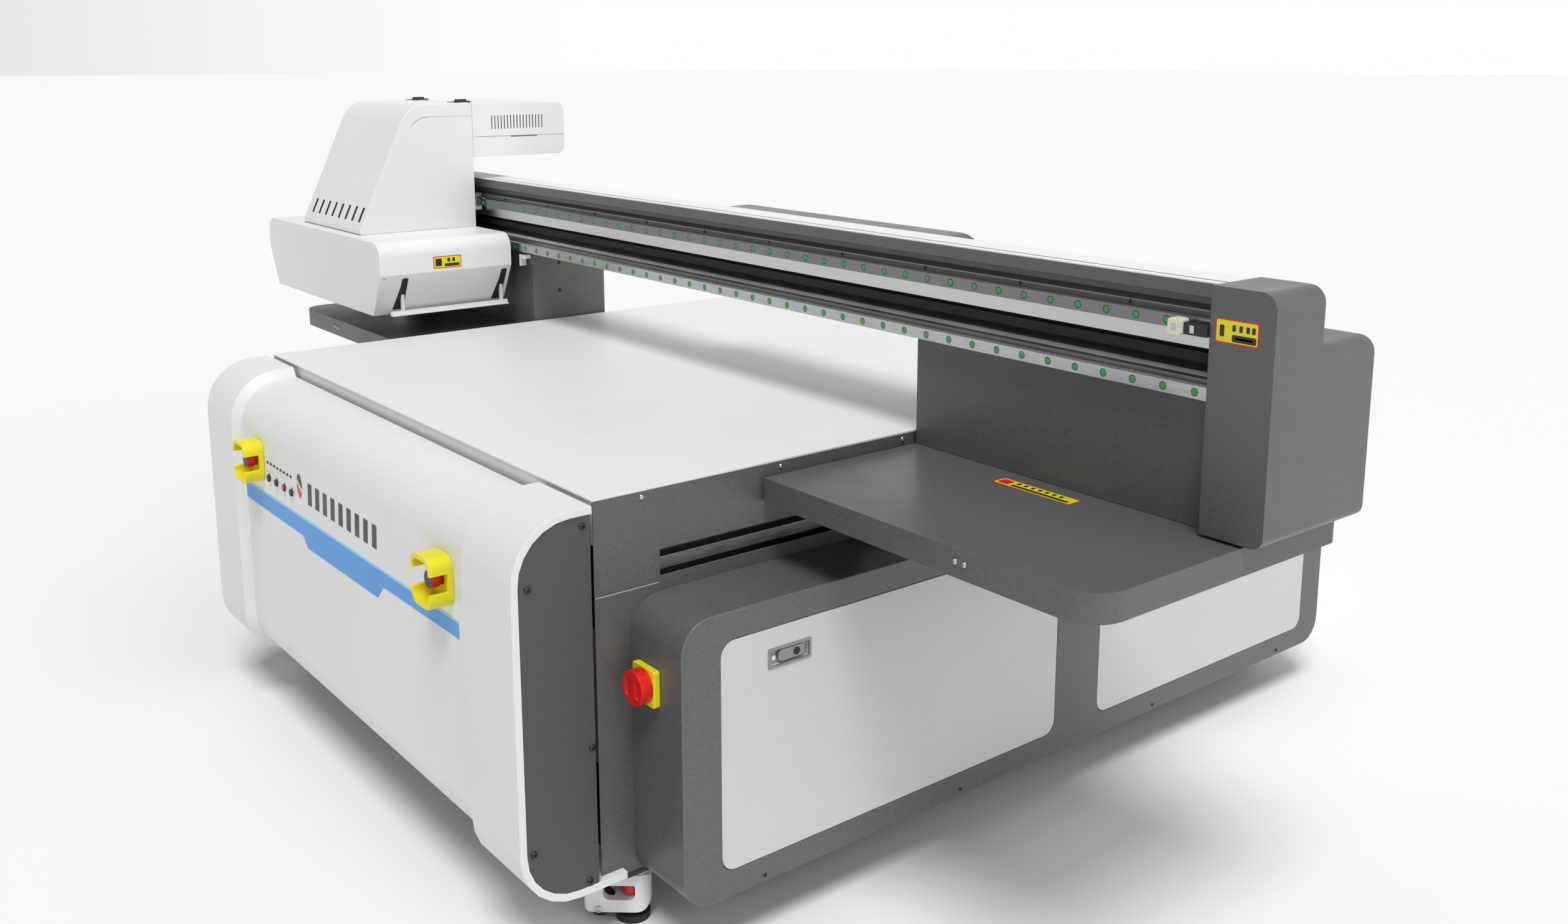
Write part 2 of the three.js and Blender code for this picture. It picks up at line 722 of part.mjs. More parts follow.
function carriageRearBox() {
  const { front, back, bottom, top, radius, wall } = REAR_BOX;
  const outline = (inset) =>
    rounded([
      [front - (inset ? 1 : 0), bottom + inset],
      [back - inset, bottom + inset, radius - inset],
      [back - inset, top - inset, radius - inset],
      [front - (inset ? 1 : 0), top - inset],
    ]);
  const vents = [];
  for (let i = 0; i < 17; i++) {
    const y = -277 + i * 10;
    for (const side of [-1, 1]) {
      const [a, b] = [side * (HOOD.half - 8), side * (HOOD.half + 2)];
      vents.push(box(Math.min(a, b), Math.max(a, b), y, y + 3, 1322, 1360));
    }
  }
  return cut(
    prismX(outline(0), -HOOD.half, HOOD.half),
    prismX(outline(wall), -HOOD.half + wall, HOOD.half - wall),
    ...vents,
  );
}

// The lifting plate with six print heads between two UV lamps.
function headUnit() {
  const pieces = [box(-300, 300, -650, -380, 884, 892), box(-60, 60, -381, -347, 884, 1040)];
  for (let i = 0; i < 3; i++) {
    const x = -93 + i * 64;
    pieces.push(box(x, x + 46, -640, -535, 850, 940), box(x, x + 46, -505, -400, 850, 940));
  }
  for (const x of [-290, 230]) pieces.push(box(x, x + 60, -620, -410, 852, 960));
  return joined(...pieces);
}

// A bar along the lower edge of the housing, hanging by two arms from pivots inside it.
function crashBar() {
  const { reach, front, back, bottom, pivotX, pivotZ } = CRASH_BAR;
  const rail = box(reach - 5, reach + 5, front, back, bottom, bottom + 12);
  const lip = box(reach - 5, reach + 12, front, back, bottom, bottom + 3);
  const arms = armPlaces.flatMap((y) => [
    box(reach - 4, reach + 4, y - 4, y + 4, bottom + 2, pivotZ),
    cylinder("y", 6, y - 4, y + 4, [pivotX, pivotZ], 14),
  ]);
  return joined(rail, lip, ...arms);
}

function hoodLatch(x) {
  const z = HOOD.top + 0.4;
  return joined(
    box(x - 11, x + 11, -362, -316, z, z + 4),
    box(x - 8, x + 8, -352, -322, z + 3, z + 9),
  );
}

// ---- assembly -----------------------------------------------------------------------------------
add("vacuum_table", vacuumTable(), tableWhite);
add("base_frame", baseFrame(), framePaint);
addPair("y_screw", yScrew(), steel);
add("vacuum_blower", vacuumBlower(), machineGrey);
add("front_shell", frontShell(), whitePaint);
add("rear_shell", rearShell(), whitePaint);
addPair("end_panel", endPanel(), greyPaint);
addPair("side_skirt", sideSkirt(), greyPaint);
const railBox = box(
  Y_RAIL.inner,
  Y_RAIL.outer,
  -Y_RAIL.halfLength,
  Y_RAIL.halfLength,
  Y_RAIL.bottom,
  Y_RAIL.top,
);
addPair("y_rail", railBox, steel);

const frontDoorway = [-DOOR.far, -DOOR.frontFar];
const rearDoorway = [DOOR.near, DOOR.far];
add("cabinet_right", cabinetWithInlet([frontDoorway, rearDoorway]), greyPaint);
add("cabinet_left", mirroredX(cabinet([])), greyPaint);
add("door_front", door(...frontDoorway), doorPaint);
add("door_rear", door(...rearDoorway), doorPaint);
add("latch_paddle_front", latchPaddle(frontDoorway[0]), steel);
add("latch_paddle_rear", latchPaddle(rearDoorway[0]), steel);
add("electrics_box", electricsBox(), machineGrey);
add("isolator_plate", isolatorPlate(), yellowPlastic);
add("isolator_knob", isolatorKnob(), redPlastic);

CONTROLS.estopX.forEach((x, i) => {
  const side = i ? "left" : "right";
  add("estop_shroud_" + side, estopShroud(x), yellowPlastic);
  add("estop_button_" + side, estopButton(x), redPlastic);
});
CONTROLS.buttonX.forEach((x, i) => add("push_button_" + (i + 1), pushButton(x), blackPlastic));

for (const [end, y] of [["front", -CASTER.y], ["rear", CASTER.y]]) {
  for (const [side, x] of [["right", CASTER.x], ["left", -CASTER.x]]) {
    add(`caster_body_${end}_${side}`, casterBody(x, y), whitePaint);
    add(`caster_wheel_${end}_${side}`, casterWheel(x, y), blackRubber);
  }
}

addPair("wing", wing(), greyPaint);
addPair("upright", upright(), greyPaint);
addPair("hanger", hanger(), steel);
addPair("end_cover", endCover(), greyPaint);
add("gantry_beam", gantryBeam(), aluminium);
add("x_rail_upper", xRail(X_RAIL.upper), steel);
add("x_rail_lower", xRail(X_RAIL.lower), steel);
add("x_belt", driveBelt(), blackRubber);
add("beam_rear_box", beamRearBox(), greyPaint);

add("carriage_plate", atCarriage(carriagePlate()), aluminium);
add("lower_housing", atCarriage(lowerHousing()), whitePaint);
add("carriage_hood", atCarriage(hood()), whitePaint);
add("carriage_rear_box", atCarriage(carriageRearBox()), whitePaint);
add("head_unit", atCarriage(headUnit()), aluminium);
add("crash_bar_right", atCarriage(crashBar()), whitePaint);
add("crash_bar_left", atCarriage(mirroredX(crashBar())), whitePaint);
add("hood_latch_right", atCarriage(hoodLatch(140)), blackPlastic);
add("hood_latch_left", atCarriage(hoodLatch(-140)), blackPlastic);

export default group;
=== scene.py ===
"""Looks of the flatbed UV printer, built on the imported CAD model. Blender 4.5.

Places are written in millimetres from the middle of the table, at floor level: X to the right along
the beam, Y from the front to the back, Z up. mm() turns them into the model's own metres.
"""

import json
import math

import bmesh
import bpy
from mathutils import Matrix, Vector

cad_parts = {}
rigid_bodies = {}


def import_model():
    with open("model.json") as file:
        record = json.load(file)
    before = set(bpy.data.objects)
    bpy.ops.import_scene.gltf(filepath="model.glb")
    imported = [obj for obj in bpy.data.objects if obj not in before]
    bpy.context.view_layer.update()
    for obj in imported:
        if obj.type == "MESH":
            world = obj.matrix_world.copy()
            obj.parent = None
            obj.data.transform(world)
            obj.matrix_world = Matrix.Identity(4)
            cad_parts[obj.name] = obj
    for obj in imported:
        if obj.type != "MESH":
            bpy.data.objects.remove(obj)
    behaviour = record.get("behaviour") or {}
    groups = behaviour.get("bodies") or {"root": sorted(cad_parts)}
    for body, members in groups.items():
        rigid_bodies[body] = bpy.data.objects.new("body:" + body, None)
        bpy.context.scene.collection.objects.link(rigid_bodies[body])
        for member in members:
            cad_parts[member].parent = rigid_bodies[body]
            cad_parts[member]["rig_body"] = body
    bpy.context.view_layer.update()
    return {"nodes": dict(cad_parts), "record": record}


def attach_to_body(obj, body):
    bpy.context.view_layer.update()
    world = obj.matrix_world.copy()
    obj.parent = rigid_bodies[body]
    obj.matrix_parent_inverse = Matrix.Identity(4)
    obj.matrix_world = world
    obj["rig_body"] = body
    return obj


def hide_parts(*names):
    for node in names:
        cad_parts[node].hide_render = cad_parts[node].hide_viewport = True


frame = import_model()

MIDDLE = Vector((37.0, 12.0, 0.0))
CARRIAGE = -1215.0  # the middle of the parked carriage, in X
HOOD_SIDE = 206.0  # from there to the side of the hood
FRONT_FACE = -1160.0  # the recessed face of the front shell, in Y
SKIRT_FACE = 750.0  # outer faces to the right of the table's middle, in X
PANEL_FACE = 763.0
BUTTON_HEIGHT = 602.5
KEY_HEIGHT = 516
CASTER_X, CASTER_Y = 705, 928
RAIL_PITCH, RAIL_END = 60, -1428
SIDES = (("right", 1), ("left", -1))


def mm(x, y, z):
    return (Vector((x, y, z)) + MIDDLE) * 0.001


# ---- materials -----------------------------------------------------------------------------------


class Nodes:
    """A small helper for building one material's node tree."""

    def __init__(self, name):
        self.material = bpy.data.materials.new(name)
        self.material.use_nodes = True
        self.tree = self.material.node_tree
        self.shader = self.tree.nodes["Principled BSDF"]
        self.place = self.add("ShaderNodeTexCoord").outputs["Object"]

    def add(self, kind, **values):
        node = self.tree.nodes.new(kind)
        for key, value in values.items():
            setattr(node, key, value)
        return node

    def link(self, source, target):
        self.tree.links.new(source, target)

    def noise(self, scale, detail=3.0, stretch=None, rough=0.5):
        """Noise with `scale` features per metre, stretched along an axis where asked."""
        node = self.add("ShaderNodeTexNoise")
        node.inputs["Scale"].default_value = scale
        node.inputs["Detail"].default_value = detail
        node.inputs["Roughness"].default_value = rough
        source = self.place
        if stretch:
            mapping = self.add("ShaderNodeMapping")
            mapping.inputs["Scale"].default_value = stretch
            self.link(source, mapping.inputs["Vector"])
            source = mapping.outputs["Vector"]
        self.link(source, node.inputs["Vector"])
        return node.outputs["Fac"]

    def spread(self, value, low, high, start=0.25, end=0.75):
        """Maps a value from start..end to low..high."""
        node = self.add("ShaderNodeMapRange")
        for key, number in zip(("From Min", "From Max", "To Min", "To Max"), (start, end, low, high)):
            node.inputs[key].default_value = number
        self.link(value, node.inputs["Value"])
        return node.outputs["Result"]

    def math(self, operation, a, b):
        node = self.add("ShaderNodeMath", operation=operation)
        for socket, value in zip(node.inputs, (a, b)):
            if isinstance(value, (int, float)):
                socket.default_value = value
            else:
                self.link(value, socket)
        return node.outputs["Value"]

    def tint(self, color, *factors):
        """The base colour times each factor, on the shader's colour socket."""
        value = factors[0]
        for factor in factors[1:]:
            value = self.math("MULTIPLY", value, factor)
        node = self.add("ShaderNodeVectorMath", operation="SCALE")
        node.inputs[0].default_value = color
        self.link(value, node.inputs["Scale"])
        self.link(node.outputs["Vector"], self.shader.inputs["Base Color"])

    def bump(self, height, distance, strength=1.0):
        node = self.add("ShaderNodeBump")
        node.inputs["Strength"].default_value = strength
        node.inputs["Distance"].default_value = distance
        self.link(height, node.inputs["Height"])
        self.link(node.outputs["Normal"], self.shader.inputs["Normal"])


def edge_highlight_factor(n, amount):
    """One, and a little more on the rounded edges, which finish_mesh marks: a painted highlight along the
    edges.
    """
    node = n.add("ShaderNodeAttribute", attribute_name="edge")
    return n.math("ADD", n.math("MULTIPLY", node.outputs["Fac"], amount), 1.0)


def powder_coat(
    name, color, roughness, grain=420.0, mottle=0.1, edge=0.12, height=0.00012, handled=0.05
):
    """Textured powder coat: a fine pebble, slow changes of tone and gloss, and paler rounded edges, a
    painted highlight.
    """
    n = Nodes(name)
    pebble = n.noise(grain, 2.0)
    cloud = n.noise(2.4, 3.0)
    smear = n.noise(9.0, 4.0, (1.0, 1.0, 0.35))
    n.tint(
        color,
        n.spread(pebble, 1 - mottle, 1 + mottle, 0.3, 0.7),
        n.spread(cloud, 0.97, 1.03),
        edge_highlight_factor(n, edge),
    )
    gloss = n.math(
        "ADD",
        n.spread(smear, -handled, handled),
        n.spread(pebble, roughness - 0.04, roughness + 0.04),
    )
    n.link(gloss, n.shader.inputs["Roughness"])
    n.bump(pebble, height)
    return n.material


def plastic(name, color, roughness, edge=0.06, grain=900.0):
    """Moulded plastic with a faint grain, flow marks and fingered gloss."""
    n = Nodes(name)
    grainy = n.noise(grain, 2.0)
    flow = n.noise(35.0, 4.0)
    # The rounded edges come out a little paler: a painted highlight.
    n.tint(color, n.spread(flow, 0.96, 1.04), n.spread(grainy, 0.97, 1.03), edge_highlight_factor(n, edge))
    n.link(n.spread(flow, roughness - 0.06, roughness + 0.08), n.shader.inputs["Roughness"])
    n.bump(grainy, 0.00004)
    return n.material


def metal(name, color, roughness, stretch, scale=700.0, contrast=0.12, tone=0.1):
    """Metal with the fine parallel lines of drawing or grinding, and cloudy handling marks."""
    n = Nodes(name)
    n.shader.inputs["Metallic"].default_value = 1.0
    lines = n.noise(scale, 3.0, stretch, 0.6)
    cloud = n.noise(7.0, 4.0)
    # The rounded edges come out a little paler: a painted highlight.
    n.tint(
        color,
        n.spread(lines, 1 - tone, 1 + tone, 0.3, 0.7),
        n.spread(cloud, 0.9, 1.06),
        edge_highlight_factor(n, 0.1),
    )
    gloss = n.math(
        "ADD",
        n.spread(lines, roughness - contrast / 2, roughness + contrast / 2),
        n.spread(cloud, -0.05, 0.07),
    )
    n.link(gloss, n.shader.inputs["Roughness"])
    n.bump(lines, 0.00003)
    return n.material


white = powder_coat("white_powder_coat", (0.76, 0.765, 0.77), 0.4, 380.0, 0.02, 0.03, 0.00006, 0.02)
bright_white = powder_coat("carriage_white", (0.8, 0.805, 0.81), 0.38, 500.0, 0.012, 0.02, 0.00004, 0.02)
grey = powder_coat("dark_grey_powder_coat", (0.108, 0.108, 0.109), 0.36, 330.0, 0.16, 0.2, 0.00016)
trim_grey = powder_coat("dark_trim_powder_coat", (0.066, 0.066, 0.067), 0.46, 330.0, 0.16, 0.2, 0.00016)
pale_grey = powder_coat("door_grey_powder_coat", (0.58, 0.58, 0.58), 0.45, 420.0, 0.03, 0.04, 0.00008)
frame_black = powder_coat("frame_black_paint", (0.035, 0.036, 0.038), 0.55, 260.0, 0.12, 0.2, 0.0002)
machine = powder_coat("machine_grey_paint", (0.23, 0.245, 0.255), 0.45, 300.0, 0.06, 0.1, 0.0001)
table_white = powder_coat("table_white_coat", (0.77, 0.77, 0.77), 0.42, 240.0, 0.008, 0.02, 0.00003, 0.015)
aluminium = metal("anodised_aluminium", (0.66, 0.67, 0.68), 0.36, (0.02, 1.0, 1.0), 800.0)
# Darker aluminium for the beam's lower steps: painted shade.
painted_shade_aluminium = metal("shaded_aluminium", (0.3, 0.3, 0.31), 0.42, (0.02, 1.0, 1.0), 800.0)
# The beam's top: its aluminium drawn paler than the front faces, a painted highlight where the light falls
# on it.
highlight_aluminium = powder_coat("top_painted_highlight", (0.8, 0.8, 0.8), 0.34, 420.0, 0.02, 0.03, 0.00004)
# The upper rail's steel is drawn darker than the lower's: a painted dark reflection.
dark_reflection_steel = metal("rail_steel_painted_reflection", (0.2, 0.2, 0.21), 0.2, (0.03, 1.0, 1.0), 900.0, 0.1, 0.2)
ground_steel = metal("ground_rail_steel", (0.5, 0.505, 0.51), 0.26, (0.03, 1.0, 1.0), 900.0, 0.1, 0.2)
ground_steel_y = metal("ground_rail_steel_side", (0.3, 0.3, 0.31), 0.3, (1.0, 0.03, 1.0), 900.0, 0.1, 0.2)
satin_chrome = metal("satin_chrome", (0.7, 0.7, 0.71), 0.2, (1.0, 0.1, 1.0), 900.0, 0.06, 0.04)
latch_nickel = metal("latch_nickel", (0.3, 0.3, 0.305), 0.34, (1.0, 0.1, 1.0), 700.0, 0.12, 0.12)
zinc = metal("zinc_screw", (0.62, 0.62, 0.6), 0.3, (1.0, 1.0, 1.0), 500.0, 0.1, 0.1)
yellow = plastic("yellow_plastic", (0.80, 0.72, 0.008), 0.35)
red = plastic("red_plastic", (0.68, 0.014, 0.006), 0.3)
black = plastic("black_plastic", (0.02, 0.02, 0.021), 0.42, 0.3)
# Near-black for painted shade: in the beam's recesses, the rail bores, the keyways, the crash bar's slots
# and behind the vents.
shade_black = plastic("painted_shade_black", (0.012, 0.012, 0.013), 0.65, 0.1)
green = plastic("green_rail_plug", (0.02, 0.36, 0.075), 0.4)
blue = plastic("blue_stripe", (0.055, 0.31, 0.74), 0.4)
sky = plastic("pale_blue_edge", (0.28, 0.6, 0.82), 0.4)
ivory = plastic("ivory_plastic", (0.78, 0.76, 0.6), 0.35)
rubber = plastic("black_rubber", (0.018, 0.018, 0.019), 0.75, 0.25, 600.0)
lens = plastic("smoked_lens", (0.01, 0.01, 0.012), 0.12)
print_white = plastic("white_print", (0.82, 0.82, 0.82), 0.5)


# ---- mesh building -------------------------------------------------------------------------------


def finish_mesh(
    bm, name, materials, bevel=0.0, segments=2, angle=25.0, pick=None, smooth=40.0, wide=None
):
    """Merges, bevels and shades a mesh, and makes it an object. Rounded edges carry the edge mark.

    `wide` is (offset, segments, test): the edges whose middle passes the test get the larger offset.
    """
    bmesh.ops.remove_doubles(bm, verts=bm.verts, dist=2e-6)
    bmesh.ops.dissolve_limit(
        bm, angle_limit=math.radians(0.4), verts=bm.verts, edges=bm.edges, delimit={"MATERIAL"}
    )
    bmesh.ops.recalc_face_normals(bm, faces=bm.faces)
    if pick:
        for face in bm.faces:
            face.material_index = pick(face.calc_center_median() * 1000 - MIDDLE, face.normal)
    layer = bm.faces.layers.float.new("edge")
    passes = [(bevel, segments, None)]
    if wide:
        passes.insert(0, wide)
    for offset, steps, test in passes:
        if not offset:
            continue
        sharp = []
        for e in bm.edges:
            if len(e.link_faces) != 2 or e.calc_face_angle(0) < math.radians(angle):
                continue
            if any(face[layer] for face in e.link_faces):
                continue
            middle = (e.verts[0].co + e.verts[1].co) * 500 - MIDDLE
            if test is None or test(middle):
                sharp.append(e)
        made = bmesh.ops.bevel(
            bm,
            geom=sharp,
            offset=offset * 0.001,
            offset_type="OFFSET",
            segments=steps,
            profile=0.5,
            affect="EDGES",
            clamp_overlap=True,
            material=-1,
        )
        for face in made["faces"]:
            face[layer] = 1.0
    for face in bm.faces:
        face.smooth = True
    for e in bm.edges:
        if len(e.link_faces) == 2 and e.calc_face_angle(0) > math.radians(smooth):
            e.smooth = False
    mesh = bpy.data.meshes.new(name)
    bm.to_mesh(mesh)
    bm.free()
    for material in materials if isinstance(materials, (list, tuple)) else [materials]:
        mesh.materials.append(material)
    piece = bpy.data.objects.new(name, mesh)
    bpy.context.scene.collection.objects.link(piece)
    weighted = piece.modifiers.new("even_normals", "WEIGHTED_NORMAL")
    weighted.keep_sharp = True
    return piece


def attach(piece, body, slot, *nodes):
    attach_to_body(piece, body)
    if nodes:
        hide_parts(*nodes)
    return piece


SLOT_OF = {s["node"]: s["material_slot"] for s in frame["record"]["subparts"]}


def dress(node, materials, bevel=1.0, segments=2, angle=25.0, pick=None, wide=None):
    """A copy of a CAD node with softened edges and its finished material, in the node's place."""
    source = frame["nodes"][node]
    bm = bmesh.new()
    bm.from_mesh(source.data)
    for face in bm.faces:
        face.material_index = 0
    piece = finish_mesh(bm, node + "_finished", materials, bevel, segments, angle, pick, wide=wide)
    return attach(piece, source["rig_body"], SLOT_OF[node], node)


def add_ring(bm, points):
    return [bm.verts.new(p) for p in points]


def add_solid(bm, low_points, high_points, index=0):
    """A closed solid between two outlines with the same number of points."""
    low, high = add_ring(bm, low_points), add_ring(bm, high_points)
    faces = [bm.faces.new(low), bm.faces.new(list(reversed(high)))]
    for i in range(len(low)):
        j = (i + 1) % len(low)
        faces.append(bm.faces.new((low[i], high[i], high[j], low[j])))
    for face in faces:
        face.material_index = index


def add_band(bm, rings, closed=False):
    """Quads between rings of the same length, and from the last ring to the first when closed."""
    faces = []
    for low, high in zip(rings, rings[1:] + rings[:1] if closed else rings[1:]):
        for i in range(len(low)):
            j = (i + 1) % len(low)
            faces.append(bm.faces.new((low[i], low[j], high[j], high[i])))
    return faces


def add_prism(bm, outline, axis, start, end, index=0):
    """A straight prism: outline in (y, z), (x, z) or (x, y) for axis x, y or z."""

    def point(a, b, c):
        return mm(*{"x": (c, a, b), "y": (a, c, b), "z": (a, b, c)}[axis])

    low = [point(a, b, start) for a, b in outline]
    add_solid(bm, low, [point(a, b, end) for a, b in outline], index)


def rectangle(a0, a1, b0, b1, radius=0.0, steps=5):
    if radius <= 0:
        return [(a0, b0), (a1, b0), (a1, b1), (a0, b1)]
    points = []
    corners = ((a0, b0, 180), (a1, b0, 270), (a1, b1, 0), (a0, b1, 90))
    for a, b, turn in corners:
        ca = a0 + radius if a == a0 else a1 - radius
        cb = b0 + radius if b == b0 else b1 - radius
        for k in range(steps + 1):
            t = math.radians(turn + 90 * k / steps)
            points.append((ca + radius * math.cos(t), cb + radius * math.sin(t)))
    return points


def circle(a, b, radius, count=24, turn=0.0):
    turns = [turn + i * (2 * math.pi / count) for i in range(count)]
    return [(a + radius * math.cos(t), b + radius * math.sin(t)) for t in turns]


def add_box(bm, x0, x1, y0, y1, z0, z1, index=0):
    add_prism(bm, rectangle(x0, x1, y0, y1), "z", z0, z1, index)


def add_lathe(bm, axis, centre, profile, count=20, index=0, sign=1):
    """A turned shape: profile of (radius, height) along +axis or -axis, closed at both ends."""
    cx, cy, cz = centre
    rings = []
    for radius, height in profile:
        ring = []
        for i in range(count):
            t = 2 * math.pi * i / count
            a, b, h = radius * math.cos(t), radius * math.sin(t), height * sign
            offset = {"x": (h, a, b), "y": (a, h, b), "z": (a, b, h)}[axis]
            ring.append(mm(cx + offset[0], cy + offset[1], cz + offset[2]))
        rings.append(add_ring(bm, ring))
    faces = [bm.faces.new(rings[0]), bm.faces.new(list(reversed(rings[-1])))]
    for face in faces + add_band(bm, rings):
        face.material_index = index


def make(name, body, slot, materials, build, bevel=0.0, segments=2, smooth=40.0):
    """Builds one piece with `build(bm)` and rides it on a body."""
    bm = bmesh.new()
    build(bm)
    return attach(finish_mesh(bm, name, materials, bevel, segments, smooth=smooth), body, slot)


def screw_profile(radius):
    """A button-head socket screw, proud of the surface that it sits on."""
    shape = ((1, 0), (1, 0.15), (0.86, 0.42), (0.55, 0.55), (0.45, 0.55), (0.4, 0.2))
    return [(a * radius, b * radius) for a, b in shape]


def layer(sign, inside, outside):
    """The two ends in X of a thin layer on a face that looks out to one side."""
    return sorted((sign * inside, sign * outside))


def screws(name, body, slot, material, axis, sign, radius, places):
    def build(bm):
        for place in places:
            add_lathe(bm, axis, place, screw_profile(radius), 16, 0, sign)

    return make(name, body, slot, material, build, smooth=50)


# ---- table, frame and shells ---------------------------------------------------------------------


def table_and_frame():
    def table_pick(centre, normal):
        return 1 if normal.z < -0.5 else 0

    dress("vacuum_table", [table_white, aluminium], 0.8, pick=table_pick)
    dress("base_frame", frame_black, 3.0)
    for side, _ in SIDES:
        dress("y_rail_" + side, ground_steel_y, 1.0)
        dress("y_screw_" + side, ground_steel_y, 0.5)
    dress("vacuum_blower", machine, 3.0)
    dress("electrics_box", machine, 4.0)


def shells():
    dress("front_shell", white, 3.0, 3)
    dress("rear_shell", white, 3.0, 3)
    for side, sign in SIDES:
        dress("end_panel_" + side, trim_grey, 0.8)
        dress("side_skirt_" + side, grey, 0.6)
        heads = ((-1046, 774), (-1149, 689), (-1154, 228), (-1049, 141), (-1038, 383))
        places = [(PANEL_FACE * sign, y, z) for y, z in heads]
        screws(f"end_panel_screws_{side}", "base", "black_plastic", black, "x", sign, 6.5, places)
        # The screws along the top edge, and a pale line at the seam between the upper and lower skirt
        # panels: a painted highlight.
        places = [(SKIRT_FACE * sign, y, 796) for y in (-922, -623, -322, -22, 278, 578, 878)]
        screws(f"skirt_screws_{side}", "base", "latch_metal", zinc, "x", sign, 5.0, places)

        def seam(bm, sign=sign):
            for y0, y1 in ((-1017, -890), (890, 1017)):
                add_box(bm, *layer(sign, SKIRT_FACE - 0.1, SKIRT_FACE + 0.25), y0, y1, 637, 638.2)

        make(f"skirt_seam_highlight_{side}", "base", "door_paint", pale_grey, seam)

        def dashes(bm, sign=sign):
            # A plain dashed pinstripe down the panel.
            z, gap = 690, 13
            for length in (28, 96, 92, 58, 60, 118):
                add_box(bm, *layer(sign, 762.4, 762.9), -1094, -1081, z - length, z)
                z -= length + gap

        make(f"panel_pinstripe_{side}", "base", "white_paint", print_white, dashes)


def front_marks():
    face = FRONT_FACE

    def stripe(bm):
        outline = [
            (-573, 519), (-217, 519), (-193, 497), (175, 499),
            (205, 529), (529, 531), (529, 560), (-573, 556),
        ]
        add_prism(bm, outline, "y", face - 0.6, face + 0.2)

    def edge(bm):
        outline = [(-573, 556.2), (529, 560.2), (529, 564.5), (-573, 561.5)]
        add_prism(bm, outline, "y", face - 0.6, face + 0.2)

    make("blue_stripe", "base", "white_paint", blue, stripe)
    make("blue_stripe_edge", "base", "white_paint", sky, edge)

    def mark(bm):
        # A neutral mark: a split disc and a row of plain slanted bars.
        x0, z0 = -222, 628
        for low, high, index in ((-10, 150, 0), (170, 330, 1)):
            turns = [math.radians(low + (high - low) * k / 12) for k in range(13)]
            outline = [(x0 + 15 * math.cos(t), z0 + 27 * math.sin(t)) for t in turns]
            add_prism(bm, outline, "y", face - 0.5, face + 0.2, index)
        for i in range(9):
            x = -176 + i * 42
            outline = [(x, 598), (x + 21, 598), (x + 26, 646), (x + 5, 646)]
            add_prism(bm, outline, "y", face - 0.5, face + 0.2, 0)

    make("front_mark", "base", "black_plastic", [black, red], mark)

    def lamps(bm):
        for i in range(8):
            x = -411 + i * 20.5
            holder = [(4.6, -0.2), (4.6, 1.2), (3.6, 1.6)]
            dome = [(3.2, 0), (3.0, 1.0), (2.0, 2.0), (0.8, 2.5)]
            add_lathe(bm, "y", (x, face, 638), holder, 16, 0, -1)
            add_lathe(bm, "y", (x, face - 1.5, 638), dome, 16, 1, -1)

    make("status_lamps", "base", "latch_metal", [satin_chrome, lens], lamps)

    # Each push button: a steel bezel that stays and a cap that moves.
    for i, x in enumerate((-406, -359, -312, -267)):
        def bezel(bm, x=x):
            profile = [(8.7, -0.2), (11.5, -0.2), (11.5, 1.4), (10.6, 2.4), (8.7, 2.4)]
            rings = []
            for radius, height in profile:
                around = circle(0, 0, radius, 28)
                ring = [mm(x + a, face - height, BUTTON_HEIGHT + b) for a, b in around]
                rings.append(add_ring(bm, ring))
            add_band(bm, rings, closed=True)

        make(f"push_button_bezel_{i + 1}", "base", "latch_metal", satin_chrome, bezel)

        def cap_pick(centre, normal, x=x):
            middle = Vector((x, centre.y, BUTTON_HEIGHT))
            return 1 if centre.y < face - 5 and (centre - middle).length < 6 else 0

        dress(f"push_button_{i + 1}", [black, red if i == 2 else black], 1.0, 3, pick=cap_pick)

    for side, sign in SIDES:
        dress("estop_shroud_" + side, yellow, 1.6, 3)

        def stop_pick(centre, normal):
            return 1 if normal.y < -0.9 and centre.y < face - 27 else 0

        dress("estop_button_" + side, [red, black], 3.0, 3, pick=stop_pick)


